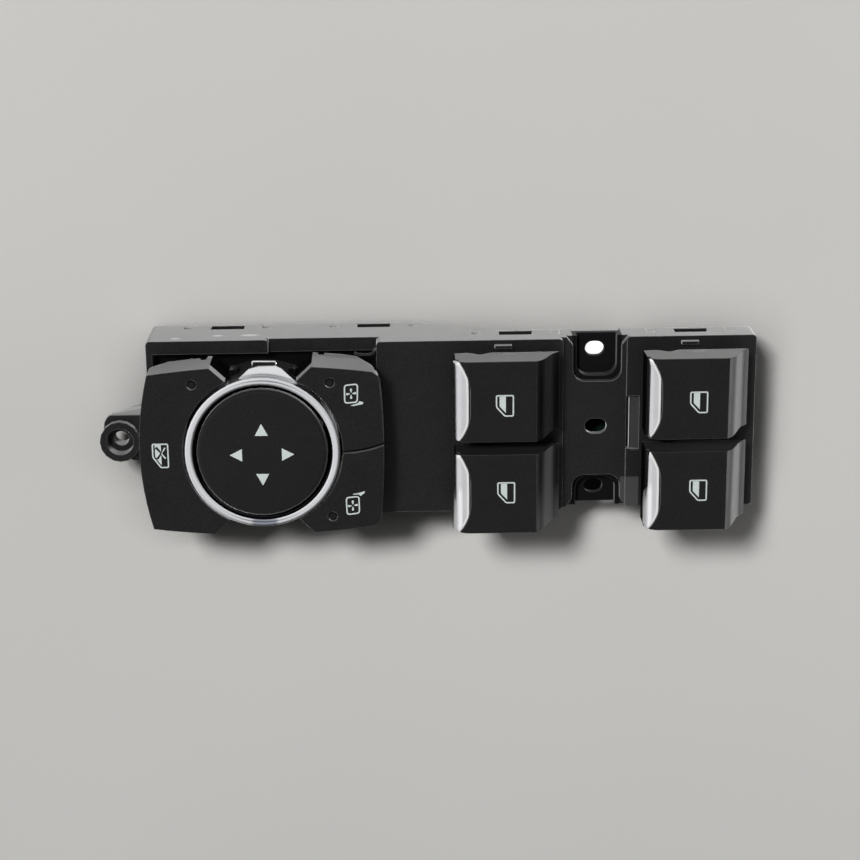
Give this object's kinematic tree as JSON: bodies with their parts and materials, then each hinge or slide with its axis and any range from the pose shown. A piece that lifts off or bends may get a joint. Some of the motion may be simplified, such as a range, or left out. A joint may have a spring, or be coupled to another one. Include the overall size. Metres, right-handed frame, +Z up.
{
  "type": "driver door master power window switch",
  "caption": "Door master switch panel with window paddles, a round mirror pad in a satin ring, mirror side buttons and a window lock button.",
  "frame": {"origin": "middle of the bounding box at the underside", "axes": "+X along the panel from the mounting ear to the tail, +Y across towards the row of right-hand windows, +Z up out of the panel"},
  "size_m": [0.1918, 0.0532, 0.0465],
  "materials": {
    "housing_black": "fine grained black moulding",
    "button_black": "satin black soft-feel paint",
    "satin_chrome": "satin",
    "smoke_lens": "smoked clear",
    "board_laminate": "solder mask",
    "white_nylon": "natural nylon",
    "switch_grey": "moulded"
  },
  "bodies": {
    "panel": {"upper_housing": "housing_black", "lower_housing": "housing_black", "button_carrier": "housing_black", "connector_header": "housing_black", "circuit_board": "board_laminate", "mirror_ring_trim": "satin_chrome", "window_lock_tact_switch": "switch_grey", "right_mirror_tact_switch": "switch_grey", "left_mirror_tact_switch": "switch_grey", "mirror_right_tact_switch": "switch_grey", "mirror_up_tact_switch": "switch_grey", "mirror_left_tact_switch": "switch_grey", "mirror_down_tact_switch": "switch_grey", "front_right_switch_base": "switch_grey", "front_left_switch_base": "switch_grey", "rear_right_switch_base": "switch_grey", "rear_left_switch_base": "switch_grey"},
    "front_right_window": {"front_right_paddle": "button_black", "front_right_lip_trim": "satin_chrome"},
    "front_right_slider": {"front_right_contact_slider": "white_nylon"},
    "front_left_window": {"front_left_paddle": "button_black", "front_left_lip_trim": "satin_chrome"},
    "front_left_slider": {"front_left_contact_slider": "white_nylon"},
    "rear_right_window": {"rear_right_paddle": "button_black", "rear_right_lip_trim": "satin_chrome"},
    "rear_right_slider": {"rear_right_contact_slider": "white_nylon"},
    "rear_left_window": {"rear_left_paddle": "button_black", "rear_left_lip_trim": "satin_chrome"},
    "rear_left_slider": {"rear_left_contact_slider": "white_nylon"},
    "window_lock_key": {"window_lock_button": "button_black", "window_lock_light_pipe": "smoke_lens"},
    "right_mirror_key": {"right_mirror_button": "button_black", "right_mirror_light_pipe": "smoke_lens"},
    "left_mirror_key": {"left_mirror_button": "button_black", "left_mirror_light_pipe": "smoke_lens"},
    "gimbal": {"mirror_gimbal": "white_nylon"},
    "pad": {"mirror_pad": "button_black"}
  },
  "joints": [
    {"name": "front_right_window_rock", "type": "hinge", "parent": "panel", "child": "front_right_window", "pos_m": [0.02355, 0.01303, 0.0354], "axis": [0, 1, 0], "range_deg": [-8, 8], "stiffness_Nm_per_rad": 0.3},
    {"name": "front_right_slider_shift", "type": "slide", "parent": "panel", "child": "front_right_slider", "axis": [-1, 0, 0], "range_m": [-0.0026, 0.0026]},
    {"name": "front_left_window_rock", "type": "hinge", "parent": "panel", "child": "front_left_window", "pos_m": [0.02355, -0.01412, 0.0354], "axis": [0, 1, 0], "range_deg": [-8, 8], "stiffness_Nm_per_rad": 0.3},
    {"name": "front_left_slider_shift", "type": "slide", "parent": "panel", "child": "front_left_slider", "axis": [-1, 0, 0], "range_m": [-0.0026, 0.0026]},
    {"name": "rear_right_window_rock", "type": "hinge", "parent": "panel", "child": "rear_right_window", "pos_m": [0.07765, 0.01303, 0.0354], "axis": [0, 1, 0], "range_deg": [-8, 8], "stiffness_Nm_per_rad": 0.3},
    {"name": "rear_right_slider_shift", "type": "slide", "parent": "panel", "child": "rear_right_slider", "axis": [-1, 0, 0], "range_m": [-0.0026, 0.0026]},
    {"name": "rear_left_window_rock", "type": "hinge", "parent": "panel", "child": "rear_left_window", "pos_m": [0.07765, -0.01412, 0.0354], "axis": [0, 1, 0], "range_deg": [-8, 8], "stiffness_Nm_per_rad": 0.3},
    {"name": "rear_left_slider_shift", "type": "slide", "parent": "panel", "child": "rear_left_slider", "axis": [-1, 0, 0], "range_m": [-0.0026, 0.0026]},
    {"name": "window_lock_press", "type": "slide", "parent": "panel", "child": "window_lock_key", "axis": [0, 0, -1], "range_m": [0, 0.0015], "stiffness_N_per_m": 900},
    {"name": "right_mirror_press", "type": "slide", "parent": "panel", "child": "right_mirror_key", "axis": [0, 0, -1], "range_m": [0, 0.0015], "stiffness_N_per_m": 900},
    {"name": "left_mirror_press", "type": "slide", "parent": "panel", "child": "left_mirror_key", "axis": [0, 0, -1], "range_m": [0, 0.0015], "stiffness_N_per_m": 900},
    {"name": "pad_tilt_across", "type": "hinge", "parent": "panel", "child": "gimbal", "pos_m": [-0.04685, -0.00193, 0.0335], "axis": [1, 0, 0], "range_deg": [-5, 5], "stiffness_Nm_per_rad": 0.25},
    {"name": "pad_tilt_along", "type": "hinge", "parent": "gimbal", "child": "pad", "pos_m": [-0.04685, -0.00193, 0.0335], "axis": [0, 1, 0], "range_deg": [-5, 5], "stiffness_Nm_per_rad": 0.25}
  ],
  "couplings": [
    {"joint": "front_right_slider_shift", "follows": "front_right_window_rock", "m_per_rad": 0.0175},
    {"joint": "front_left_slider_shift", "follows": "front_left_window_rock", "m_per_rad": 0.0175},
    {"joint": "rear_right_slider_shift", "follows": "rear_right_window_rock", "m_per_rad": 0.0175},
    {"joint": "rear_left_slider_shift", "follows": "rear_left_window_rock", "m_per_rad": 0.0175}
  ]
}
